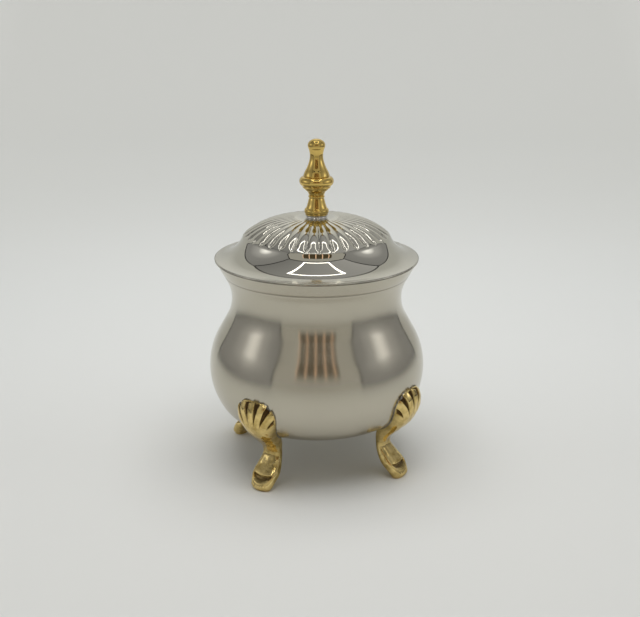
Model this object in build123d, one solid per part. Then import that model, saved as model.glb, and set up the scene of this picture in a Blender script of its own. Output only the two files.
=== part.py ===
from build123d import *
import os
from math import cos, pi, radians, sin

# Footed sugar bowl: a spun steel pot and pressed lid, with a turned brass knob and four cast brass legs.
# Millimetres, +Z up. The origin is on the table under the pot's axis, and the legs stand on the diagonals.

# Pot: its outline is a chain of tangent arcs and straight runs, from the flat base up to the flared rim.
POT_SHEET = 0.8
BASE_RADIUS = 29.7
BASE_HEIGHT = 20.8
HEEL_ARC, HEEL_TURN = 13.7, 58.0
BELLY_ARC, BELLY_TURN = 29.9, 61.6
SHOULDER_RUN = 7.8
NECK_ARC, NECK_TURN = 17.7, 58.2
FLARE_RUN = 8.6
NECK_LINE_Z, NECK_LINE_DEPTH = 83.8, 0.25

# Lid: its outline is a chain of the same kind, from the flat crown out to the brim that lies on the rim.
LID_SHEET = 0.7
CROWN_HEIGHT, CROWN_FLAT = 107.0, 5.5
CROWN_ARC, CROWN_TURN = 66.95, 11.7
SHOULDER_ARC, SHOULDER_TURN = 21.8, 43.5
DOME_RUN = 2.7
COVE_ARC, COVE_TURN = 8.65, 43.8
BRIM_RUN = 3.2
LID_BORE = 2.2

# Lobes pressed into the dome: sharp furrows leave a rounded ridge between each two of them.
LOBE_COUNT = 36
FURROW_STATIONS = 5
FURROW_START, FURROW_END = 0.055, 0.89
FURROW_DEPTH_PER_RADIUS = 0.032
FURROW_SPREAD = 0.84

# Locating ring under the lid: it drops inside the flare of the neck.
RING_RADIUS, RING_SHEET = 37.8, 0.7
RING_FOOT_Z = 84.8

# Knob, collar, screw and washer, all on the lid's axis.
COLLAR_RADIUS, COLLAR_HEIGHT, COLLAR_WAIST = 4.7, 1.1, 0.3
KNOB_TOP_Z = 139.3
TAP_RADIUS, TAP_DEPTH = 2.0, 7.6
SCREW_RADIUS, SCREW_BITE = 1.95, 6.6
SCREW_HEAD_RADIUS, SCREW_HEAD_HEIGHT = 3.6, 2.2
SLOT_WIDTH, SLOT_DEPTH = 1.0, 1.1
WASHER_RADIUS, WASHER_SHEET = 5.0, 0.8

# Legs, one on each diagonal. Each is a run of rounded sections from the sole up to the top of the shell.
LEG_ANGLES = {"front_left": -135, "front_right": -45, "back_right": 45, "back_left": 135}
DART_COUNT = 6
DART_FAN_Z, DART_SPACING = 21.5, 15.0
DART_START, DART_LENGTH, DART_WIDTH = 9.8, 18.0, 2.6
DART_DEPTH = 0.65
SCOOP_RADIUS, SCOOP_STRETCH = 2.3, 1.9


def at(radius, height):
    """A point of a half section: its distance from the axis and its height."""
    return Vector(radius, 0, height)


def turned(*edges):
    """The solid that a closed half section makes round the axis."""
    return revolve(make_face(list(edges)), axis=Axis.Z, revolution_arc=360)


def arc_run(start, heading, radius, turn):
    """One arc of an outline: its edge, end point and end heading. A positive turn bends upwards."""
    side = 1 if turn > 0 else -1
    centre = start + Vector(-sin(radians(heading)), 0, cos(radians(heading))) * (radius * side)

    def point(share):
        along = radians(heading + turn * share)
        return centre + Vector(sin(along), 0, -cos(along)) * (radius * side)

    return ThreePointArc(start, point(0.5), point(1)), point(1), heading + turn


def straight_run(start, heading, length):
    """One straight run of an outline: its edge and end point."""
    end = start + Vector(cos(radians(heading)), 0, sin(radians(heading))) * length
    return Line(start, end), end


def pot_outline(inset=0.0):
    """The pot's edges from the axis to the rim, set in by inset, with their last point and heading."""
    point = at(BASE_RADIUS, BASE_HEIGHT + inset)
    base = Line(at(0, BASE_HEIGHT + inset), point)
    heel, point, heading = arc_run(point, 0, HEEL_ARC - inset, HEEL_TURN)
    belly, point, heading = arc_run(point, heading, BELLY_ARC - inset, BELLY_TURN)
    shoulder, point = straight_run(point, heading, SHOULDER_RUN)
    neck, point, heading = arc_run(point, heading, NECK_ARC + inset, -NECK_TURN)
    flare, point = straight_run(point, heading, FLARE_RUN)
    return [base, heel, belly, shoulder, neck, flare], point, heading


def pot():
    """The spun pot: one sheet from base to rim, with the line that the lathe tool cut round its neck."""
    outer, rim_outer, heading = pot_outline()
    inner, rim_inner, heading = pot_outline(POT_SHEET)
    body = turned(*outer, *inner, Line(rim_outer, rim_inner), Line(outer[0] @ 0, inner[0] @ 0))
    along = Vector(cos(radians(heading)), 0, sin(radians(heading)))
    outwards = Vector(along.Z, 0, -along.X)
    mark = rim_outer + along * ((NECK_LINE_Z - rim_outer.Z) / along.Z)
    corners = [mark - outwards * NECK_LINE_DEPTH, mark + (outwards + along * 2) * NECK_LINE_DEPTH]
    corners.append(mark + (outwards - along * 2) * NECK_LINE_DEPTH)
    return body - revolve(make_face(Polyline(*corners, close=True)), axis=Axis.Z, revolution_arc=360)


def pot_filled():
    """The pot's outside as a solid form, which the legs are seated on."""
    outer, rim, heading = pot_outline()
    return turned(*outer, Line(rim, at(0, rim.Z)), Line(at(0, rim.Z), outer[0] @ 0))


def lid_outline(inset=0.0):
    """The lid's edges from the axis to the brim, set in by inset, with their last point."""
    point = at(CROWN_FLAT, CROWN_HEIGHT - inset)
    flat = Line(at(0, CROWN_HEIGHT - inset), point)
    crown, point, heading = arc_run(point, 0, CROWN_ARC - inset, -CROWN_TURN)
    shoulder, point, heading = arc_run(point, heading, SHOULDER_ARC - inset, -SHOULDER_TURN)
    wall, point = straight_run(point, heading, DOME_RUN)
    cove, point, heading = arc_run(point, heading, COVE_ARC + inset, COVE_TURN)
    brim, point = straight_run(point, heading, BRIM_RUN)
    return [flat, crown, shoulder, wall, cove, brim], point


def furrow(edges):
    """One furrow's cutter: a cusp between two hollow flanks, run down the crown and part of the shoulder."""
    crown, shoulder = edges[1], edges[2]
    half_pitch = sin(pi / LOBE_COUNT)
    sections = []
    for n in range(FURROW_STATIONS):
        share = n / (FURROW_STATIONS - 1)
        place = 2 * (FURROW_START + (FURROW_END - FURROW_START) * share)
        edge, place = (crown, place) if place < 1 else (shoulder, place - 1)
        fade = 1.0 if n < FURROW_STATIONS - 1 else 0.25
        depth = (edge @ place).X * FURROW_DEPTH_PER_RADIUS * fade
        reach = (edge @ place).X * half_pitch * FURROW_SPREAD
        left = ThreePointArc((-reach, 0), (-reach * 0.42, -depth * 0.3), (0, -depth))
        right = ThreePointArc((0, -depth), (reach * 0.42, -depth * 0.3), (reach, 0))
        roof = Polyline((reach, 0), (reach, 0.8), (-reach, 0.8), (-reach, 0))
        across = Plane(origin=edge @ place, x_dir=(0, 1, 0), z_dir=edge % place)
        sections.append(across * make_face([left, right] + roof.edges()))
    return loft(sections)


def furrowed(form, edges):
    """A dome with the whole ring of furrows cut into it."""
    cutter = furrow(edges)
    return form.cut(*[Rot(0, 0, 360 / LOBE_COUNT * n) * cutter for n in range(LOBE_COUNT)])


def lid():
    """The pressed lid: its lobes show on both sides, because the inside repeats the outside one sheet down."""
    outer, brim_top = lid_outline()
    inner, brim_under = lid_outline(LID_SHEET)
    foot = at(0, brim_under.Z)
    form = turned(*outer, Line(brim_top, brim_under), Line(brim_under, foot), Line(foot, outer[0] @ 0))
    below = Polyline(brim_under, brim_under - at(0, 1), foot - at(0, 1), inner[0] @ 0)
    core = furrowed(turned(*inner, *below.edges()), inner)
    shell = furrowed(form, outer) - core
    return shell - Pos(0, 0, CROWN_HEIGHT) * Cylinder(LID_BORE, 4)


def locating_ring():
    """The band soldered up into the lid's cove, with its foot turned in a little so that it finds the neck."""
    top = at(RING_RADIUS, CROWN_HEIGHT)
    knee = at(RING_RADIUS, RING_FOOT_Z + 1.2)
    foot = at(RING_RADIUS - 0.6, RING_FOOT_Z)
    sheet = at(RING_SHEET, 0)
    band = turned(Polyline(top, knee, foot, foot - sheet, knee - sheet, top - sheet, close=True))
    inner, brim_under = lid_outline(LID_SHEET)
    below = Polyline(brim_under, at(brim_under.X, 0), at(0, 0), inner[0] @ 0)
    return band & turned(*inner, *below.edges())


def collar():
    """The bright steel collar between lid and knob, with a hollow waist."""
    foot = at(COLLAR_RADIUS, CROWN_HEIGHT)
    top = at(COLLAR_RADIUS, CROWN_HEIGHT + COLLAR_HEIGHT)
    waist = ThreePointArc(foot, (foot + top) / 2 - at(COLLAR_WAIST, 0), top)
    bore_top = at(LID_BORE, top.Z)
    bore_foot = at(LID_BORE, foot.Z)
    return turned(waist, Line(top, bore_top), Line(bore_top, bore_foot), Line(bore_foot, foot))


def knob():
    """The turned knob: a foot bead, two waists, a disc bead with steps under it, and a button cap."""
    foot_z = CROWN_HEIGHT + COLLAR_HEIGHT
    top = at(0, KNOB_TOP_Z)
    edges = [
        ThreePointArc(top, at(1.6, KNOB_TOP_Z - 0.2), at(2.9, KNOB_TOP_Z - 0.9)),
        ThreePointArc(at(2.9, KNOB_TOP_Z - 0.9), at(3.62, 136.8), at(3.2, 135.1)),
        Spline(at(3.2, 135.1), at(2.72, 132.3), at(3.3, 129.3), at(4.45, 126.7), at(5.4, 124.5)),
        Line(at(5.4, 124.5), at(5.3, 123.9)),
        ThreePointArc(at(5.3, 123.9), at(7.1, 122.0), at(6.1, 120.1)),
        Line(at(6.1, 120.1), at(5.5, 119.9)),
        ThreePointArc(at(5.5, 119.9), at(5.35, 119.3), at(4.7, 119.1)),
        ThreePointArc(at(4.7, 119.1), at(4.55, 118.4), at(4.0, 118.0)),
        ThreePointArc(at(4.0, 118.0), at(3.3, 116.9), at(3.0, 115.9)),
        ThreePointArc(at(3.0, 115.9), at(3.35, 115.5), at(3.15, 115.1)),
        Spline(at(3.15, 115.1), at(3.7, 112.6), at(4.45, 110.7)),
        ThreePointArc(at(4.45, 110.7), at(5.05, 109.4), at(4.7, foot_z)),
    ]
    tap_top = foot_z + TAP_DEPTH
    hole = Polyline(at(4.7, foot_z), at(TAP_RADIUS, foot_z), at(TAP_RADIUS, tap_top), at(0, tap_top + 1.1), top)
    return turned(*edges, *hole.edges())


def screw():
    """The slotted cheese-head screw that comes up through the lid and collar into the knob."""
    under_head = CROWN_HEIGHT - LID_SHEET - WASHER_SHEET
    tip = CROWN_HEIGHT + COLLAR_HEIGHT + SCREW_BITE
    shank = Pos(0, 0, under_head) * extrude(Circle(SCREW_RADIUS), tip - under_head)
    head = Pos(0, 0, under_head) * extrude(Circle(SCREW_HEAD_RADIUS), -SCREW_HEAD_HEIGHT)
    shank = chamfer(shank.edges().sort_by(Axis.Z)[-1], 0.4)
    slot = Pos(0, 0, under_head - SCREW_HEAD_HEIGHT) * Box(10, SLOT_WIDTH, SLOT_DEPTH * 2)
    return shank + head - slot


def washer():
    """The plain washer that spreads the screw's pull on the lid's inside."""
    ring = Circle(WASHER_RADIUS) - Circle(LID_BORE)
    return Pos(0, 0, CROWN_HEIGHT - LID_SHEET) * extrude(ring, -WASHER_SHEET)


def leg_section(front, back, half_width, square, grow=0.0):
    """One rounded section of a leg between a front and a back point. A bigger square gives fuller corners."""
    middle, reach = (front + back) / 2, (front - back) / 2
    half_depth = reach.length + grow
    across = Plane(origin=middle, x_dir=reach, z_dir=Vector(-reach.Z, 0, reach.X))
    points = []
    for n in range(12):
        turn = 2 * pi * n / 12
        shape = (abs(cos(turn)) ** square + abs(sin(turn)) ** square) ** (-1 / square)
        points.append((half_depth * shape * cos(turn), (half_width + grow) * shape * sin(turn)))
    return across * make_face(Spline(*points, periodic=True))


def leg_form(grow=0.0):
    """The leg's whole form in the XZ plane: sole, toe, cuff, ankle, knee and shell, from the table upwards."""
    return loft([
        leg_section(at(43.6, 0), at(38.9, 0), 3.8, 2.1, grow),
        leg_section(at(44.5, 1.8), at(38.1, 1.6), 4.8, 2.2, grow),
        leg_section(at(43.4, 4.4), at(36.8, 3.4), 5.4, 2.5, grow),
        leg_section(at(41.3, 7.0), at(35.2, 5.4), 5.7, 3.0, grow),
        leg_section(at(38.1, 9.9), at(33.4, 8.2), 5.1, 3.4, grow),
        leg_section(at(35.6, 13.4), at(31.8, 12.4), 4.3, 3.0, grow),
        leg_section(at(36.8, 16.8), at(31.2, 17.8), 4.5, 2.5, grow),
        leg_section(at(41.2, 21.0), at(32.5, 24.0), 5.6, 2.2, grow),
        leg_section(at(45.6, 25.4), at(35.5, 29.5), 7.2, 2.1, grow),
        leg_section(at(48.2, 30.2), at(38.5, 33.0), 8.5, 2.1, grow),
        leg_section(at(49.0, 34.4), at(38.8, 36.0), 8.9, 2.1, grow),
        leg_section(at(48.7, 37.6), at(40.0, 38.6), 8.0, 2.1, grow),
        leg_section(at(47.7, 40.2), at(41.4, 40.8), 5.4, 2.0, grow),
    ])


def darts():
    """The tapered darts that fan over the shell from its knee, as prisms that reach through its front."""
    prisms = []
    for n in range(DART_COUNT):
        lean = (n - (DART_COUNT - 1) / 2) * DART_SPACING
        blade = Polyline((0, DART_START), (DART_WIDTH / 2, DART_START + DART_LENGTH),
                         (-DART_WIDTH / 2, DART_START + DART_LENGTH), close=True)
        front = Plane(origin=at(60, DART_FAN_Z), x_dir=(0, 1, 0), z_dir=(1, 0, 0))
        prisms.append(extrude(front * (Rot(0, 0, lean) * make_face(blade)), -20))
    return prisms


def leg():
    """One cast leg: seated on the pot, with darts cut in its shell and a scoop behind its toe."""
    form = leg_form()
    floor = Pos(40, 0, -5) * Box(30, 30, 10)
    seated = form - pot_filled() - floor
    core = leg_form(-DART_DEPTH)
    for dart in darts():
        seated = seated - (dart - core)
    scoop = Pos(44.6, 0, 4.9) * scale(Sphere(SCOOP_RADIUS), by=(1, SCOOP_STRETCH, 1))
    return seated - scoop


if __name__ == "__main__":
    os.makedirs("parts", exist_ok=True)
    nodes = {
        "bowl_body": pot(),
        "lid_cover": lid(),
        "lid_locating_ring": locating_ring(),
        "knob": knob(),
        "knob_collar": collar(),
        "knob_screw": screw(),
        "screw_washer": washer(),
    }
    one_leg = leg()
    for place, angle in LEG_ANGLES.items():
        nodes["leg_" + place] = Rot(0, 0, angle) * one_leg
    for name, solid in nodes.items():
        solid.label = name
        export_step(solid, "parts/" + name + ".step")
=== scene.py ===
import bpy
import math
import numpy as np
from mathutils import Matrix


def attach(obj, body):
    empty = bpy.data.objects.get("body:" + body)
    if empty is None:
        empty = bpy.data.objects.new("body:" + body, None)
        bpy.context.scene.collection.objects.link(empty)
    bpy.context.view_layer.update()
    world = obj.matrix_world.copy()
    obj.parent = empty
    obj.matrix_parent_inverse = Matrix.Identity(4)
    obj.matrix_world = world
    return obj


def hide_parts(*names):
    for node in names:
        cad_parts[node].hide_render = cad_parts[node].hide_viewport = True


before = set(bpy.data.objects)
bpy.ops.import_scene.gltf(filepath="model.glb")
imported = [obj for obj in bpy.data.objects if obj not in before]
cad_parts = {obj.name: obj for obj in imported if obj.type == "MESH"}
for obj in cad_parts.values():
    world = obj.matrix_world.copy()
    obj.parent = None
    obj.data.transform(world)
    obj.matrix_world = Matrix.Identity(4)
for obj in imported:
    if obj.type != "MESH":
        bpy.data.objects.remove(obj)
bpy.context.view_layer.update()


# The pot: one sheet of steel, spun over a form from its flat base to its flared rim.
# Its outside is brushed round and round on the lathe, and one fine line is turned under the rim.
POT_SHEET = 0.0008
POT_BASE = (0.0297, 0.0208)
# Each run is an arc's radius and its turn in degrees, or a straight length and no turn.
POT_RUNS = [(0.0137, 58.0), (0.0299, 61.6), (0.0078, 0), (0.0177, -58.2), (0.0086, 0)]
POT_SIDES = 224
NECK_LINE_Z, NECK_LINE_WIDTH, NECK_LINE_DEPTH = 0.0838, 0.00022, 0.00014
# The second colour makes the turned line darker.
SATIN_STEEL, LINE_DARK = (0.55, 0.515, 0.43), (0.10, 0.09, 0.07)
SATIN_ROUGHNESS = 0.135


def outline(start, heading, runs, spacing):
    """Points (radius, height) and outward normals along tangent runs. A run with a turn is an arc:
    its centre stands square to the heading, and its points go round it by the turn's share."""
    points, normals = [], []
    place = np.array(start, float)
    for size, turn in runs:
        side = 1 if turn >= 0 else -1
        length = size * math.radians(abs(turn)) if turn else size
        share = np.linspace(0, 1, max(2, int(length / spacing) + 1))[:, None]
        angle = np.radians(heading + turn * share)
        facing = np.hstack([np.sin(angle), -np.cos(angle)])
        if turn:
            run = place + size * side * (facing - facing[0])
        else:
            run = place + share * size * np.array([math.cos(angle[0, 0]), math.sin(angle[0, 0])])
        points.append(run[:-1])
        normals.append(facing[:-1])
        place, heading = run[-1], heading + turn
    points.append(place[None])
    normals.append(facing[-1:])
    return np.vstack(points), np.vstack(normals)


def round_edge(first, last, steps=9):
    """A half circle that joins two points of a profile, out past the sheet's edge and back."""
    middle, arm = (first + last) / 2, (first - last) / 2
    turn = np.linspace(0, math.pi, steps)[1:-1, None]
    return middle + arm * np.cos(turn) + np.array([arm[1], -arm[0]]) * np.sin(turn)


def add_mesh(name, points, faces, body, nodes):
    """A smooth-shaded object of those points and faces that rides on a body for some CAD nodes."""
    mesh = bpy.data.meshes.new(name)
    mesh.from_pydata(points.reshape(-1, 3).tolist(), [], faces)
    mesh.validate()
    mesh.shade_smooth()
    piece = bpy.data.objects.new(name, mesh)
    bpy.context.scene.collection.objects.link(piece)
    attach(piece, body)
    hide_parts(*nodes)
    return piece


def grid_faces(rows, columns):
    """Quads of a grid whose columns close on themselves, row after row."""
    row, column = np.meshgrid(np.arange(rows - 1), np.arange(columns), indexing="ij")
    a = row * columns + column
    b = row * columns + (column + 1) % columns
    return np.stack([a, b, b + columns, a + columns], -1).reshape(-1, 4).tolist()


def turned_points(profile, sides):
    """Each point of a profile carried round the axis: x = r cos a, y = r sin a, z as it is."""
    turn = np.arange(sides) * 2 * math.pi / sides
    r, z = profile[:, :1], profile[:, 1:]
    return np.stack([r * np.cos(turn), r * np.sin(turn), z + 0 * turn], -1)


def turned_piece(name, profile, sides, body, nodes):
    """A profile turned round the axis. It starts and ends on the axis, with a fan of triangles at
    each pole."""
    points = turned_points(profile[1:-1], sides).reshape(-1, 3)
    poles = [[0, 0, profile[0, 1]], [0, 0, profile[-1, 1]]]
    count = len(points)
    faces = grid_faces(len(profile) - 2, sides)
    last = count - sides
    faces += [[count, (n + 1) % sides, n] for n in range(sides)]
    faces += [[count + 1, last + n, last + (n + 1) % sides] for n in range(sides)]
    return add_mesh(name, np.vstack([points, poles]), faces, body, nodes)


class Value:
    """A socket that works out sums: each operator adds the Math node for it."""

    def __init__(self, nodes, socket):
        self.nodes, self.socket = nodes, socket

    def math(self, operation, *others):
        """The Math node of that operation, with this value first."""
        return self.nodes.add("ShaderNodeMath", {"operation": operation}, self, *others)

    def __add__(self, other):
        return self.math("ADD", other)

    def __sub__(self, other):
        return self.math("SUBTRACT", other)

    def __mul__(self, other):
        return self.math("MULTIPLY", other)

    def __truediv__(self, other):
        return self.math("DIVIDE", other)

    def __rsub__(self, other):
        return self.nodes.add("ShaderNodeMath", {"operation": "SUBTRACT"}, other, self)

    __radd__ = __add__
    __rmul__ = __mul__


class Nodes:
    """The nodes of a material or a world, and the one way they are made."""

    def __init__(self, owner):
        owner.use_nodes = True
        self.tree = owner.node_tree

    def add(self, kind, settings, *inputs, output=0, **named):
        """A node of a type, with its settings, then its inputs in order or by name."""
        node = self.tree.nodes.new(kind)
        for setting, value in settings.items():
            if setting == "stops":
                self.set_stops(node.color_ramp.elements, value)
            else:
                setattr(node, setting, value)
        used = [socket for socket in node.inputs if socket.enabled]
        for socket, value in zip(used, inputs):
            self.join(socket, value)
        for place, value in named.items():
            self.join(node.inputs[place], value)
        if isinstance(output, int):
            return Value(self, [socket for socket in node.outputs if socket.enabled][output])
        return Value(self, node.outputs[output])

    def set_stops(self, elements, stops):
        """A ramp's stops, each (position, grey or colour)."""
        while len(elements) < len(stops):
            elements.new(1.0)
        for element, (position, level) in zip(elements, stops):
            element.position = position
            rgb = level if isinstance(level, tuple) else (level,) * 3
            element.color = (*rgb, 1)

    def join(self, socket, value):
        """A socket takes a link, a number, or a colour of three or four numbers."""
        value = value.socket if isinstance(value, Value) else value
        if isinstance(value, bpy.types.NodeSocket):
            self.tree.links.new(value, socket)
        elif isinstance(value, tuple):
            socket.default_value = (*value, 1)[:4]
        else:
            socket.default_value = value

    def place(self):
        """The point on the object, in metres."""
        return self.add("ShaderNodeTexCoord", {}, output="Object")

    def attribute(self, name):
        """A number that the mesh holds at each of its points."""
        return self.add("ShaderNodeAttribute", {"attribute_name": name}, output="Fac")

    def noise(self, place, scale, detail, rough):
        """Even noise from 0 to 1, with its scale in lumps per metre."""
        return self.add("ShaderNodeTexNoise", {}, Vector=place, Scale=scale, Detail=detail, Roughness=rough)

    def ramp(self, value, stops):
        """A grey or a colour read off between stops."""
        return self.add("ShaderNodeValToRGB", {"stops": stops}, value)

    def mix(self, share, first, second):
        """The first colour where the share is 0, the second where it is 1."""
        return self.add("ShaderNodeMix", {"data_type": "RGBA"}, share, first, second)


class Finish(Nodes):
    """A material, from its constant sockets and what feeds the others."""

    def __init__(self, name, **sockets):
        self.material = bpy.data.materials.new(name)
        super().__init__(self.material)
        self.shader = self.tree.nodes["Principled BSDF"]
        for socket, value in sockets.items():
            self.shader.inputs[socket.replace("_", " ").title()].default_value = value

    def feed(self, **sockets):
        """Links, numbers or colours for the shader's sockets, with _ for a space in their names."""
        for socket, value in sockets.items():
            self.join(self.shader.inputs[socket.replace("_", " ")], value)

    def bump(self, height, strength, distance):
        """Relief that is a distance in metres deep where the height goes from 0 to 1."""
        self.feed(Normal=self.add("ShaderNodeBump", {}, Strength=strength, Distance=distance, Height=height))


def split_place(finish):
    """The x, y and z of the point that is shaded, and its distance from the axis, in metres."""
    point = finish.place()
    x, y, z = [finish.add("ShaderNodeSeparateXYZ", {}, point, output=axis) for axis in "XYZ"]
    return x, y, z, (x * x + y * y).math("SQRT")


def lathe_grain(finish, radius, height):
    """Fine uneven rings: noise over radius and height alone, so that it is even round the axis."""
    rings = finish.add("ShaderNodeCombineXYZ", {}, radius * 0.8, 0.0, height)
    fine = finish.noise(rings, 9000.0, 2.0, 0.6)
    broad = finish.noise(rings, 900.0, 2.0, 0.5)
    return fine * 0.75 + broad * 0.25


def satin_steel(name, line=None):
    """Spun and brushed steel: fine rings, faint blotches of handling and a warm grey metal. A turned
    line, given by its height and the least radius at which it shows, is coloured darker."""
    finish = Finish(name, metallic=1.0, anisotropic=0.95, anisotropic_rotation=0.25)
    _, _, height, radius = split_place(finish)
    grain = lathe_grain(finish, radius, height)
    blotch = finish.noise(finish.place(), 60.0, 4.0, 0.6)
    colour = finish.ramp(blotch * 0.5 + grain * 0.5, [
        (0.30, tuple(c * 0.95 for c in SATIN_STEEL)), (0.70, tuple(c * 1.04 for c in SATIN_STEEL))])
    if line:
        outside = radius.math("GREATER_THAN", line[1])
        near = (height - line[0]).math("ABSOLUTE").math("LESS_THAN", NECK_LINE_WIDTH)
        # The turned line is coloured darker here.
        colour = finish.mix(near * outside * 0.55, colour, LINE_DARK)
    finish.feed(Base_Color=colour, Roughness=grain * 0.05 + blotch * 0.04 + SATIN_ROUGHNESS)
    finish.bump(grain, 0.5, 0.000008)
    return finish.material


outer, outer_normals = outline(POT_BASE, 0, POT_RUNS, 0.00045)
inner = outer - outer_normals * POT_SHEET
# The turned line is a groove whose depth falls off on both sides as a bell curve.
cut = np.exp(-((outer[:, 1] - NECK_LINE_Z) / NECK_LINE_WIDTH) ** 2) * NECK_LINE_DEPTH
cut_outer = outer - outer_normals * cut[:, None]
base_out = np.linspace((0, POT_BASE[1]), POT_BASE, 12)[:-1]
base_in = base_out + (0, POT_SHEET)
rim = round_edge(outer[-1], inner[-1])
pot_profile = np.vstack([base_out, cut_outer, rim, inner[::-1], base_in[::-1]])
pot = turned_piece("pot", pot_profile, POT_SIDES, "bowl", ["bowl_body"])
neck_radius = np.interp(NECK_LINE_Z, outer[:, 1], outer[:, 0])
pot.data.materials.append(satin_steel("spun satin steel", (NECK_LINE_Z, neck_radius - POT_SHEET / 2)))


# The lid: pressed from one sheet, with a ring of lobes on its crown, a round shoulder and a hollow
# cove that runs out into the brim. The dome is mirror polished and the brim is brushed like the pot.
LID_SHEET = 0.0007
CROWN = (0.0055, 0.1070)
LID_RUNS = [(0.0755, -7.2), (0.0296, -32.1), (0.0033, -26.7), (0.00025, 0), (0.01376, 56.5), (0.00133, 0)]
LOBES, LOBE_SIDES = 36, 12
LOBE_RISE_PER_RADIUS, LOBE_POWER = 0.026, 2.3
LOBE_FIRST_RADIUS, LOBE_LAST_RADIUS = 0.0062, 0.0304
LOBE_TIP_ROUND, LOBE_FADE_IN, LOBE_FADE_OUT = 0.0012, 0.004, (0.0013, 0.0004)
FURROW_START, FURROW_STOP, FURROW_EDGE = (0.0075, 0.012), 0.0006, 0.84
LID_BORE = 0.0022
BRIM_SATIN_RADIUS = 0.0388
# The second colour is painted shade for the furrows.
MIRROR_STEEL, FURROW_SHADE = (0.59, 0.57, 0.50), (0.16, 0.15, 0.13)


def soft_step(value, low, high):
    """0 below low, 1 above high, and a smooth S between them."""
    share = np.clip((value - low) / (high - low), 0, 1)
    return share * share * (3 - 2 * share)


def lobed_points(profile, normals, sides):
    """The dome with its lobes. Across a lobe t runs from -1 to 1, and the surface drops by a power
    of t times the furrow's depth, which grows with the radius. A lobe's outer end is rounded: its
    furrow stops sooner by t squared."""
    turn = np.arange(sides) * 2 * math.pi / sides
    t = np.abs(((turn * LOBES / (2 * math.pi)) % 1.0) * 2 - 1)
    radius = profile[:, :1]
    begin = soft_step(radius, LOBE_FIRST_RADIUS, LOBE_FIRST_RADIUS + LOBE_FADE_IN)
    reach = radius + LOBE_TIP_ROUND * (1 - t * t)
    end = soft_step(reach, LOBE_LAST_RADIUS - LOBE_FADE_OUT[0], LOBE_LAST_RADIUS + LOBE_FADE_OUT[1])
    drop = LOBE_RISE_PER_RADIUS * radius * begin * (1 - end) * t ** LOBE_POWER
    r = profile[:, :1] - normals[:, :1] * drop
    z = profile[:, 1:] - normals[:, 1:] * drop
    return np.stack([r * np.cos(turn), r * np.sin(turn), z], -1)


def lid_finish():
    """A mirror dome on a brushed brim, with a faint haze of wiping and painted shade along the furrows."""
    finish = Finish("pressed lid steel", metallic=1.0, anisotropic=0.9, anisotropic_rotation=0.25)
    _, _, _, radius = split_place(finish)
    brushed = finish.ramp((radius - BRIM_SATIN_RADIUS) * 900.0 + 0.5, [(0.0, 0.0), (1.0, 1.0)])
    smear = finish.noise(finish.place(), 140.0, 3.0, 0.5)
    fine = finish.noise(finish.place(), 900.0, 2.0, 0.5)
    hollow = finish.attribute("hollow")
    # The furrows are painted darker, as shade.
    finish.feed(Base_Color=finish.mix(hollow * 0.5, MIRROR_STEEL, FURROW_SHADE))
    finish.feed(Roughness=smear * 0.025 + brushed * 0.13 + 0.022)
    finish.bump(smear * 0.7 + fine * 0.3, 0.35, 0.00001)
    return finish.material


dome, dome_normals = outline(CROWN, 0, LID_RUNS, 0.00034)
flat = np.linspace((LID_BORE, CROWN[1]), CROWN, 8)[:-1]
dome = np.vstack([flat, dome])
dome_normals = -np.vstack([np.tile((0.0, -1.0), (len(flat), 1)), dome_normals])
LID_SIDES = LOBES * LOBE_SIDES
top = lobed_points(dome, dome_normals, LID_SIDES)
under_profile = dome - dome_normals * LID_SHEET
under = lobed_points(under_profile, dome_normals, LID_SIDES)
edge = turned_points(round_edge(under_profile[-1], dome[-1])[::-1], LID_SIDES)
lid_points = np.concatenate([top, edge, under[::-2]])  # the inside needs half as many rows
rows = len(lid_points)
# The last row joins the first at the bore, so that the sheet is closed.
lid_faces = np.array(grid_faces(rows + 1, LID_SIDES)) % (rows * LID_SIDES)
lid = add_mesh("lid", lid_points, lid_faces[:, ::-1].tolist(), "lid", ["lid_cover"])
# Painted shade lies along the furrows, on the rows that have lobes.
across_lobe = np.abs((np.arange(LID_SIDES) / LOBE_SIDES % 1.0) * 2 - 1)
lobed_rows = soft_step(dome[:, :1], *FURROW_START) * (dome[:, :1] < LOBE_LAST_RADIUS - FURROW_STOP)
hollow = np.zeros((rows, LID_SIDES))
hollow[:len(dome)] = lobed_rows * soft_step(across_lobe, FURROW_EDGE, 1.0)
lid.data.attributes.new("hollow", "FLOAT", "POINT").data.foreach_set("value", hollow.ravel())
lid.data.materials.append(lid_finish())


# The locating ring: a steel band soldered into the lid's cove. It drops into the neck and keeps the
# lid in its place.
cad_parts["lid_locating_ring"].data.materials.clear()
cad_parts["lid_locating_ring"].data.materials.append(satin_steel("rolled steel band"))


# The knob: turned from a brass bar, with a foot, two slender waists, a disc with steps under it and
# a button cap. It is polished, and its colour darkens a little here and there.
KNOB_SIDES = 128
BRASS = (0.77, 0.55, 0.165)
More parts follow.
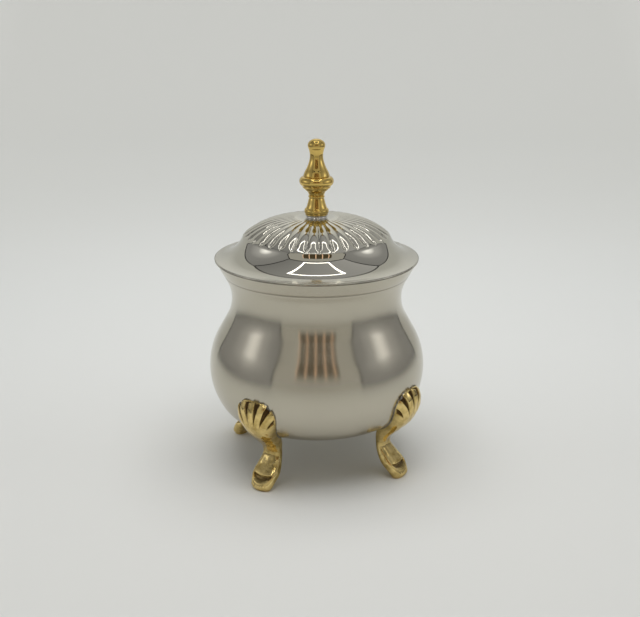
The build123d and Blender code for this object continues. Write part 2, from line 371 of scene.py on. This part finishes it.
# Radius and height in millimetres, from the cap down to the foot and up the bore. Each run is smooth,
# and there is an edge where one ends and the next begins.
KNOB_RUNS = [
    [(0.0, 139.3), (0.9, 139.22), (1.8, 138.95), (2.5, 138.55), (3.1, 138.0), (3.5, 137.3), (3.6, 136.5),
     (3.45, 135.7), (3.2, 135.1)],
    [(3.2, 135.1), (2.95, 134.2), (2.76, 133.2), (2.72, 132.2), (2.82, 131.0), (3.15, 129.7), (3.65, 128.3),
     (4.2, 127.1), (4.8, 126.0), (5.25, 124.9), (5.4, 124.4)],
    [(5.4, 124.4), (5.3, 124.0)],
    [(5.3, 124.0), (6.2, 123.7), (6.8, 123.1), (7.1, 122.3), (7.05, 121.5), (6.7, 120.7), (6.1, 120.15)],
    [(6.1, 120.15), (5.75, 120.1)],
    [(5.75, 120.1), (5.85, 119.7), (5.6, 119.2), (5.1, 119.0)],
    [(5.1, 119.0), (4.95, 118.7), (4.6, 118.3), (4.1, 117.9), (3.6, 117.3), (3.3, 116.6), (3.0, 116.1)],
    [(3.0, 116.1), (3.3, 115.9), (3.4, 115.6), (3.3, 115.3), (3.05, 115.1)],
    [(3.05, 115.1), (3.3, 114.3), (3.6, 113.1), (3.95, 111.9), (4.4, 110.8)],
    [(4.4, 110.8), (4.85, 110.4), (5.05, 109.8), (5.0, 109.1), (4.75, 108.6), (4.7, 108.1)],
    [(4.7, 108.1), (2.0, 108.1)],
    [(2.0, 108.1), (2.0, 115.7)],
    [(2.0, 115.7), (0.0, 116.8)],
]


def smooth_run(points, steps):
    """A Catmull-Rom curve through the points of one run, with its ends held."""
    p = np.array(points, float)
    p = np.vstack([2 * p[0] - p[1], p, 2 * p[-1] - p[-2]])
    share = np.linspace(0, 1, steps, endpoint=False)[None, :, None]
    a, b, c, d = [p[k:len(p) - 3 + k, None] for k in range(4)]
    curve = 0.5 * (2 * b + (c - a) * share + (2 * a - 5 * b + 4 * c - d) * share ** 2
                   + (3 * b - a - 3 * c + d) * share ** 3)
    return np.vstack([curve.reshape(-1, p.shape[1]), p[-2:-1]])


def polished_brass():
    """Polished brass: warm colour that shifts a little, fine turning marks and a soft darkening."""
    finish = Finish("polished brass", metallic=1.0)
    _, _, height, radius = split_place(finish)
    cloud = finish.noise(finish.place(), 220.0, 4.0, 0.6)
    grain = lathe_grain(finish, radius, height)
    finish.feed(Base_Color=finish.ramp(cloud, [(0.34, tuple(c * 0.80 for c in BRASS)), (0.60, BRASS)]))
    finish.feed(Roughness=cloud * 0.04 + grain * 0.03 + 0.012)
    finish.bump(grain * 0.6 + cloud * 0.4, 0.4, 0.00001)
    return finish.material


knob_profile = np.vstack([smooth_run(run, 6)[:-1] for run in KNOB_RUNS] + [KNOB_RUNS[-1][-1]]) / 1000
knob = turned_piece("knob_turned", knob_profile, KNOB_SIDES, "lid", ["knob"])
knob.data.flip_normals()
knob.data.materials.append(polished_brass())


# The knob's fixing: a bright collar between the lid and the knob, and a slotted screw with a washer
# that comes up through them from inside.
def bright_steel():
    """Bright drawn steel with fine turning marks."""
    finish = Finish("bright steel", metallic=1.0)
    _, _, height, radius = split_place(finish)
    grain = lathe_grain(finish, radius, height)
    finish.feed(Base_Color=finish.ramp(grain, [(0.3, (0.60, 0.58, 0.54)), (0.7, (0.70, 0.68, 0.64))]))
    finish.feed(Roughness=grain * 0.15 + 0.08)
    finish.bump(grain, 0.4, 0.00001)
    return finish.material


fixing_finish = bright_steel()
for node in ("knob_collar", "knob_screw", "screw_washer"):
    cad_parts[node].data.materials.clear()
    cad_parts[node].data.materials.append(fixing_finish)


# The legs: each is one brass casting soldered to the pot, with a scallop shell over the belly, a bent
# knee and ankle, and a boxy shank that opens into a cuff over a hollowed toe. Tarnish stays in its
# hollows, shade is painted as a brown band round the ankle, and grey solder shows where the shell
# meets the pot.
LEG_ANGLES = {"front_left": -135, "front_right": -45, "back_right": 45, "back_left": 135}
# Each station, in millimetres: front radius and height, back radius and height, half width, and then
# its squareness, where 2 is an ellipse.
LEG_STATIONS = [
    (43.6, 0.0, 38.9, 0.0, 3.8, 2.1),
    (44.5, 1.8, 38.1, 1.6, 4.8, 2.2),
    (43.4, 4.4, 36.8, 3.4, 5.4, 2.5),
    (41.3, 7.0, 35.2, 5.4, 5.7, 3.0),
    (38.1, 9.9, 33.4, 8.2, 5.1, 3.4),
    (35.6, 13.4, 31.8, 12.4, 4.3, 3.0),
    (36.8, 16.8, 31.2, 17.8, 4.5, 2.5),
    (41.2, 21.0, 32.5, 24.0, 5.6, 2.2),
    (45.6, 25.4, 35.5, 29.5, 7.2, 2.1),
    (48.2, 30.2, 38.5, 33.0, 8.5, 2.1),
    (49.0, 34.4, 38.8, 36.0, 8.9, 2.1),
    (48.7, 37.6, 40.0, 38.6, 8.0, 2.1),
    (47.7, 40.2, 41.4, 40.8, 5.4, 2.0),
]
LEG_AROUND, LEG_STEPS = 216, 26
DART_FAN_Z, DART_LEANS = 21.5, (-52, -37.5, -22.5, -7.5, 7.5, 22.5, 37.5, 52)
DART_START, DART_LATE, DART_SPREAD, DART_WALL, DART_DEPTH = 8.6, 1.6, 0.112, (-0.10, 0.28), 0.8
SCOOP_TOP, SCOOP_HEIGHT, SCOOP_HALF, SCOOP_DEPTH = 6.8, 3.9, 4.7, 0.95
SKIN_DEPTH, SEAT_DEPTH = 0.07, 0.25
# The brown band at the ankle is painted shade under the shell. The scoop's brown is tarnish.
ANKLE_Z, ANKLE_REACH, ANKLE_SHADE, SCOOP_TARNISH = 13.0, 3.6, 0.22, 0.75
CAST_BRASS, DULL_BRASS = (0.82, 0.635, 0.27), (0.50, 0.36, 0.12)
# One brown serves both the tarnish in the hollows and the painted shade round the ankle.
TARNISH_AND_SHADE, SOLDER_GREY = (0.085, 0.05, 0.018), (0.42, 0.40, 0.37)


def leg_grid():
    """A leg in the XZ plane, in millimetres: a rounded section is carried up through its stations."""
    station = smooth_run(LEG_STATIONS, LEG_STEPS)
    front, back = station[:, 0:2], station[:, 2:4]
    middle, reach = (front + back) / 2, (front - back) / 2
    width, square = station[:, 4:5], station[:, 5:6]
    turn = np.arange(LEG_AROUND) * 2 * math.pi / LEG_AROUND
    size = (np.abs(np.cos(turn)) ** square + np.abs(np.sin(turn)) ** square) ** (-1 / square)
    along, across = size * np.cos(turn), size * np.sin(turn)
    x = middle[:, :1] + reach[:, :1] * along
    z = middle[:, 1:] + reach[:, 1:] * along
    return np.stack([x, width * across, z], -1)


def grid_normals(grid):
    """Unit normals of a closed-column grid: the cross product of its two central differences."""
    across = np.roll(grid, -1, 1) - np.roll(grid, 1, 1)
    upwards = np.gradient(grid, axis=0)
    normal = np.cross(across, upwards)
    return normal / np.linalg.norm(normal, axis=-1, keepdims=True)


def dart_depth(y, z, facing):
    """How deep the darts go, from 0 to 1. Each is a wedge that starts a set way from the fan's
    centre and widens in proportion to the way it has run. The outer ones start later, by the cube of
    their lean. Only the front of the shell has them."""
    deepest = np.zeros_like(y)
    for lean in DART_LEANS:
        turn = math.radians(lean)
        run = y * math.sin(turn) + (z - DART_FAN_Z) * math.cos(turn)
        aside = np.abs(y * math.cos(turn) - (z - DART_FAN_Z) * math.sin(turn))
        start = DART_START + DART_LATE * abs(lean / DART_LEANS[-1]) ** 3
        half = DART_SPREAD * (run - start)
        wedge = soft_step(half - aside, *DART_WALL) * (run > start)
        deepest = np.maximum(deepest, wedge)
    return deepest * soft_step(facing, 0.02, 0.2)


def scoop_depth(y, z, facing):
    """The hollow over the toe, from 0 to 1: straight and steep along its top, and shallow towards
    its rounded lower rim."""
    height = SCOOP_HEIGHT * np.sqrt(np.clip(1 - (y / SCOOP_HALF) ** 2, 0.0001, 1))
    down = (SCOOP_TOP - z) / height
    shape = soft_step(down, 0.0, 0.22) * (1 - soft_step(down, 0.35, 1.0))
    return shape * (np.abs(y) < SCOOP_HALF) * soft_step(facing, 0.1, 0.4)


def toe_ribs(y, z, facing):
    """Fine upright ribs round the toe's rim: a cosine of y, faded out above it and on its back."""
    return np.cos(y * 5.2) * soft_step(2.9 - z, 0, 0.8) * soft_step(facing, 0.2, 0.6) * (z > 0.4)


def casting_lumps(x, y, z):
    """The uneven skin of the casting: the product of two slow sines, from the ankle up."""
    return np.sin(x * 1.1 + y * 1.7) * np.sin(z * 0.9 + y * 0.7) * soft_step(z, 8, 12)


def seat_on_pot(points):
    """Points inside the pot's outside are moved to just under it. Also returns each point's height
    over it: the offset from the nearest outline point along the normal there, worked out for a
    fortieth of the points at a time to spare memory."""
    flat = points.reshape(-1, 3)
    radius = np.hypot(flat[:, 0], flat[:, 1])
    place = np.stack([radius, flat[:, 2]], -1)
    surface, facing = outer * 1000, outer_normals
    nearest = np.empty(len(flat), int)
    for part in np.array_split(np.arange(len(flat)), 40):
        gap = ((place[part, None] - surface[None]) ** 2).sum(-1)
        nearest[part] = gap.argmin(1)
    foot, way = surface[nearest], facing[nearest]
    height = ((place - foot) * way).sum(-1)
    sunk = np.minimum(height + SEAT_DEPTH, 0)[:, None]
    place = place - way * sunk
    scale = (place[:, 0] / np.maximum(radius, 0.001))[:, None]
    moved = np.hstack([flat[:, :2] * scale, place[:, 1:]])
    return moved.reshape(points.shape), height.reshape(points.shape[:2])


def leg_finish():
    """Cast brass, golden where it is rubbed, brown with tarnish in its hollows and with painted shade
    round the ankle, and grey where solder has run.
    """
    finish = Finish("cast brass", metallic=1.0)
    place = finish.place()
    cloud = finish.noise(place, 260.0, 4.0, 0.65)
    speck = finish.noise(place, 1300.0, 3.0, 0.6)
    hollow, solder = finish.attribute("hollow"), finish.attribute("solder")
    gold = finish.ramp(cloud, [(0.36, DULL_BRASS), (0.56, CAST_BRASS)])
    # Tarnish in the darts and the scoop, painted shade round the ankle, and random specks.
    tarnish_and_shade = (hollow * 1.15 + speck * 0.5 - 0.25).math("MINIMUM", 1.0).math("MAXIMUM", 0.0)
    colour = finish.mix(tarnish_and_shade, gold, TARNISH_AND_SHADE)
    edge = (solder * 1.4 + cloud * 0.8 - 0.75).math("MINIMUM", 1.0).math("MAXIMUM", 0.0)
    run_solder = finish.ramp(speck, [(0.40, 0.09), (0.62, SOLDER_GREY)])
    finish.feed(Base_Color=finish.mix(edge, colour, run_solder))
    finish.feed(Roughness=cloud * 0.07 + tarnish_and_shade * 0.20 + edge * 0.15 + 0.02)
    finish.bump(cloud * 0.9 + speck * 0.1, 0.8, 0.00015)
    return finish.material


grid = leg_grid()
normals = grid_normals(grid)
x, y, z, facing = grid[..., 0], grid[..., 1], grid[..., 2], normals[..., 0]
darts, scoop = dart_depth(y, z, facing), scoop_depth(y, z, facing)
sink = DART_DEPTH * darts + SCOOP_DEPTH * scoop
sink = sink + SKIN_DEPTH * (toe_ribs(y, z, facing) + casting_lumps(x, y, z))
grid, over_pot = seat_on_pot(grid - normals * sink[..., None])
grid[..., 2] = np.maximum(grid[..., 2], 0)
# Tarnish lies in the darts and in the scoop, painted shade round the ankle, and solder where
# the shell nears the pot.
ankle = ANKLE_SHADE * np.exp(-((grid[..., 2] - ANKLE_Z) / ANKLE_REACH) ** 2)
hollow = np.clip(darts + SCOOP_TARNISH * scoop + ankle, 0, 1)
solder = (1 - soft_step(over_pot, 0.1, 0.9)) * soft_step(grid[..., 2], 19, 22)
leg_faces = grid_faces(len(grid), LEG_AROUND)
ends = len(grid) * LEG_AROUND
last = ends - LEG_AROUND
leg_faces += [[ends, (n + 1) % LEG_AROUND, n] for n in range(LEG_AROUND)]
leg_faces += [[ends + 1, last + n, last + (n + 1) % LEG_AROUND] for n in range(LEG_AROUND)]
leg_shape = np.vstack([grid.reshape(-1, 3), grid[0].mean(0), grid[-1].mean(0)]) / 1000
cast_brass = leg_finish()
for place, angle in LEG_ANGLES.items():
    c, s = math.cos(math.radians(angle)), math.sin(math.radians(angle))
    spin = np.array([[c, s, 0], [-s, c, 0], [0, 0, 1]])
    leg = add_mesh("cast_leg_" + place, leg_shape @ spin, leg_faces, "bowl", ["leg_" + place])
    for name, values in (("hollow", hollow), ("solder", solder)):
        held = np.append(values.ravel(), (0.0, 0.0))
        leg.data.attributes.new(name, "FLOAT", "POINT").data.foreach_set("value", held)
    leg.data.materials.append(cast_brass)


# The studio: a pale paper sweep, with a cloth tent round it that reflections see and the camera does
# not. Its side walls glow where lamps shine through them, a frame of strip lamps hangs under its
# roof, and a broad soft lamp lights the part from above.
CAMERA_TURN = -12.0
TENT_HALF, TENT_FRONT, TENT_BACK, TENT_TOP = 0.42, -0.42, 0.33, 0.62
TENT_MIDDLE, TENT_REACH = (TENT_FRONT + TENT_BACK) / 2, (TENT_BACK - TENT_FRONT) / 2
PAPER_HALF, PAPER_FRONT, PAPER_BEND, PAPER_BEND_RADIUS, PAPER_TOP = 1.9, -1.6, 0.9, 0.5, 2.2
GLOW_AWAY, GLOW_HEIGHT, GLOW_STRENGTH = -0.06, 0.255, 1.65
SEAM_SIDE, SEAM_TOP, SEAM_ROOF = 0.022, 0.026, 0.030
SEAM_GREY, ROOF_SEAM_GREY = (0.01, 0.01, 0.01), (0.02, 0.02, 0.02)
CARD_LEFT, CARD_RIGHT, CARD_AWAY, CARD_LOW, CARD_HIGH = -0.19, 0.21, -0.47, 0.18, 0.52
CARD_DARK, CARD_BAR = (0.085, 0.062, 0.03), (1.25, 0.82, 0.55)
BARS_PER_METRE, BAR_SHIFT, BAR_EDGE = 11.3, 0.01, 0.92
STRIP_OUTSIDE, STRIP_INSIDE = (-0.154, -0.356, 0.154, 0.114), (-0.138, -0.340, 0.138, 0.098)
STRIP_DROP, STRIP_STRENGTH, STRIP_WHITE = 0.02, 6.0, (1.0, 0.99, 0.96)
SOFT_LAMP_SIZE, SOFT_LAMP_POWER, SOFT_LAMP_AWAY, SOFT_LAMP_DROP = 0.50, 1.85, -0.05, 0.03
ROOM, ROOM_SEEN = (0.475, 0.465, 0.425), (0.58, 0.59, 0.575)


def tent_place(across, away, height):
    """A point given across and away from the camera, in the frame of the part."""
    c, s = math.cos(math.radians(CAMERA_TURN)), math.sin(math.radians(CAMERA_TURN))
    return across * c - away * s, across * s + away * c, height


def studio_mesh(name, points, faces, finish, seen):
    """A stage object that stands turned with the camera, so that its own x runs across the view."""
    mesh = bpy.data.meshes.new(name)
    mesh.from_pydata(points, [], faces)
    mesh.shade_smooth()
    mesh.materials.append(finish.material)
    thing = bpy.data.objects.new(name, mesh)
    thing.rotation_euler = (0, 0, math.radians(CAMERA_TURN))
    thing.visible_camera = seen
    bpy.context.scene.collection.objects.link(thing)


def paper_sweep():
    """A floor that curves up into a wall: straight, a quarter circle, then straight. The camera and
    reflections see it glow more further back and higher up, and the camera also far to the sides.
    Its colours go by the share of the way from 0.6 m before the part to 1.4 m behind it, with painted
    light that makes the paper paler further back."""
    bend = np.linspace(0, math.pi / 2, 24)
    wall = PAPER_BEND + PAPER_BEND_RADIUS
    run = np.concatenate([[PAPER_FRONT], PAPER_BEND + PAPER_BEND_RADIUS * np.sin(bend), [wall]])
    rise = np.concatenate([[0.0], PAPER_BEND_RADIUS * (1 - np.cos(bend)), [PAPER_TOP]])
    points = [(side, y, z) for y, z in zip(run, rise) for side in (-PAPER_HALF, PAPER_HALF)]
    faces = [[2 * n, 2 * n + 1, 2 * n + 3, 2 * n + 2] for n in range(len(run) - 1)]
    finish = Finish("pale paper", roughness=0.75, emission_strength=1.0)
    x, y, height, _ = split_place(finish)
    aside = x.math("ABSOLUTE")
    back = (y + 0.6) / 2.0
    # Painted light: the paper's own colour is made paler further back.
    finish.feed(Base_Color=finish.ramp(back, [
        (0.20, (0.72, 0.73, 0.71)), (0.30, (0.77, 0.78, 0.765)),
        (0.42, (0.83, 0.85, 0.84)), (0.70, (0.80, 0.82, 0.82))]))
    camera_ray = finish.add("ShaderNodeLightPath", {}, output="Is Camera Ray")
    glossy_ray = finish.add("ShaderNodeLightPath", {}, output="Is Glossy Ray")
    seen = camera_ray.math("MAXIMUM", glossy_ray)
    glow = finish.ramp(back, [(0.30, 0.0), (0.365, 0.05), (0.42, 0.08), (0.48, 0.11), (1.0, 0.16)])
    raised = (height * 2.4 - 0.7).math("MAXIMUM", 0.0).math("MINIMUM", 1.0)
    upper = raised * (1.0 - aside * 1.1).math("MAXIMUM", 0.0)
    behind = finish.ramp(back, [(0.42, 0.0), (0.55, 0.03), (0.70, 0.06), (1.0, 0.04)])
    outer_share = (aside - 0.45).math("MAXIMUM", -0.55 - y) / 1.5
    far = finish.ramp(outer_share, [(0.0, 0.0), (0.2, 0.12), (0.5, 0.20), (1.0, 0.24)])
    light = glow + upper * 0.42 + (far + behind) * camera_ray
    finish.feed(Emission_Color=finish.mix(seen, (0.0, 0.0, 0.0), light))
    studio_mesh("paper", points, faces, finish, True)


def tent_wall(name, side):
    """A cloth wall with a lamp behind it: the glow falls off with the distance from the lamp's place,
    which counts less along the wall than up it, and a dark seam runs round the wall."""
    points = [(side * TENT_HALF, y, z) for y, z in (
        (TENT_FRONT, 0.0), (TENT_BACK, 0.0), (TENT_BACK, TENT_TOP), (TENT_FRONT, TENT_TOP))]
    finish = Finish(name, base_color=(0, 0, 0, 1), roughness=1.0, emission_strength=GLOW_STRENGTH)
    _, y, height, _ = split_place(finish)
    along, up = y - GLOW_AWAY, height - GLOW_HEIGHT
    off = (along * along * 0.4 + up * up).math("SQRT")
    glow = finish.ramp(off / 0.5, [(0.0, 0.98), (0.08, 0.66), (0.14, 0.33), (0.34, 0.20), (1.0, 0.155)])
    sides = (y - TENT_MIDDLE).math("ABSOLUTE").math("GREATER_THAN", TENT_REACH - SEAM_SIDE)
    ends = (height - TENT_TOP / 2).math("ABSOLUTE").math("GREATER_THAN", TENT_TOP / 2 - SEAM_TOP)
    finish.feed(Emission_Color=finish.mix(sides.math("MAXIMUM", ends), glow, SEAM_GREY))
    studio_mesh(name, points, [[0, 1, 2, 3]], finish, False)


def front_card():
    """A dark card behind the camera, with warm upright bars on it, that the belly reflects. Its dark face
    and its bars glow as painted light.
    """
    points = [(CARD_LEFT, CARD_AWAY, CARD_LOW), (CARD_RIGHT, CARD_AWAY, CARD_LOW),
              (CARD_RIGHT, CARD_AWAY, CARD_HIGH), (CARD_LEFT, CARD_AWAY, CARD_HIGH)]
    finish = Finish("lens card", base_color=(0, 0, 0, 1), roughness=1.0, emission_strength=1.0)
    x, _, _, _ = split_place(finish)
    wave = ((x + BAR_SHIFT) * (BARS_PER_METRE * 2 * math.pi)).math("COSINE")
    # Painted light: the card's dark face and its bars glow.
    finish.feed(Emission_Color=finish.mix(wave.math("GREATER_THAN", BAR_EDGE), CARD_DARK, CARD_BAR))
    studio_mesh("lens card", points, [[0, 1, 2, 3]], finish, False)


def tent_roof():
    """The cloth roof over the strip lamps, a painted glow that is darker to the left, with a seam along
    its front and back.
    """
    points = [(-TENT_HALF, TENT_FRONT, TENT_TOP), (TENT_HALF, TENT_FRONT, TENT_TOP),
              (TENT_HALF, TENT_BACK, TENT_TOP), (-TENT_HALF, TENT_BACK, TENT_TOP)]
    finish = Finish("tent roof", base_color=(0, 0, 0, 1), roughness=1.0, emission_strength=1.0)
    x, y, _, _ = split_place(finish)
    # Painted light: the cloth glows, darker to the left.
    cloth = finish.ramp((x + TENT_HALF) / (2 * TENT_HALF), [(0.0, 0.25), (0.5, 0.38), (1.0, 0.48)])
    seam = (y - TENT_MIDDLE).math("ABSOLUTE").math("GREATER_THAN", TENT_REACH - SEAM_ROOF)
    finish.feed(Emission_Color=finish.mix(seam, cloth, ROOF_SEAM_GREY))
    studio_mesh("tent roof", points, [[0, 1, 2, 3]], finish, False)


def strip_frame():
    """Four thin glowing strips in a frame under the roof: the band between two rectangles."""
    points = []
    for left, near, right, far in (STRIP_OUTSIDE, STRIP_INSIDE):
        corners = ((left, near), (right, near), (right, far), (left, far))
        points += [(x, y, TENT_TOP - STRIP_DROP) for x, y in corners]
    faces = [[n, (n + 1) % 4, (n + 1) % 4 + 4, n + 4] for n in range(4)]
    finish = Finish("strip lamps", base_color=(0, 0, 0, 1), roughness=1.0, emission_strength=STRIP_STRENGTH)
    finish.feed(Emission_Color=STRIP_WHITE)
    studio_mesh("strip lamps", points, faces, finish, False)


def soft_lamp():
    """The broad lamp over the part. Reflections leave it out, because they show the strips."""
    lamp = bpy.data.lights.new("soft lamp", "AREA")
    lamp.shape, lamp.size, lamp.energy = "SQUARE", SOFT_LAMP_SIZE, SOFT_LAMP_POWER
    holder = bpy.data.objects.new("soft lamp", lamp)
    holder.location = tent_place(0.0, SOFT_LAMP_AWAY, TENT_TOP - SOFT_LAMP_DROP)
    holder.visible_glossy = False
    bpy.context.scene.collection.objects.link(holder)


def room():
    """The grey room outside the tent, which the camera sees as pale as the paper."""
    world = bpy.data.worlds.new("room")
    bpy.context.scene.world = world
    nodes = Nodes(world)
    background = nodes.tree.nodes["Background"]
    camera_ray = nodes.add("ShaderNodeLightPath", {}, output="Is Camera Ray")
    nodes.join(background.inputs["Color"], nodes.mix(camera_ray, ROOM, ROOM_SEEN))
    nodes.join(background.inputs["Strength"], 1.0)


paper_sweep()
tent_wall("left tent wall", -1)
tent_wall("right tent wall", 1)
tent_roof()
front_card()
strip_frame()
soft_lamp()
room()


# The camera: it stands a little left of the front and looks down on the bowl, from the photograph's
# viewing angle and with its frame.
CAMERA_PLACE = (-0.0882, -0.4147, 0.202)
CAMERA_PITCH, CAMERA_YAW, CAMERA_LENS, CAMERA_SENSOR = 17.65, -0.2, 58.78, 36

lens = bpy.data.cameras.new("camera")
lens.lens, lens.sensor_width = CAMERA_LENS, CAMERA_SENSOR
camera = bpy.data.objects.new("camera", lens)
bpy.context.scene.collection.objects.link(camera)
camera.location = CAMERA_PLACE
camera.rotation_euler = (math.radians(90 - CAMERA_PITCH), 0, math.radians(CAMERA_TURN + CAMERA_YAW))
bpy.context.scene.camera = camera
bpy.context.scene.view_settings.view_transform = "Standard"
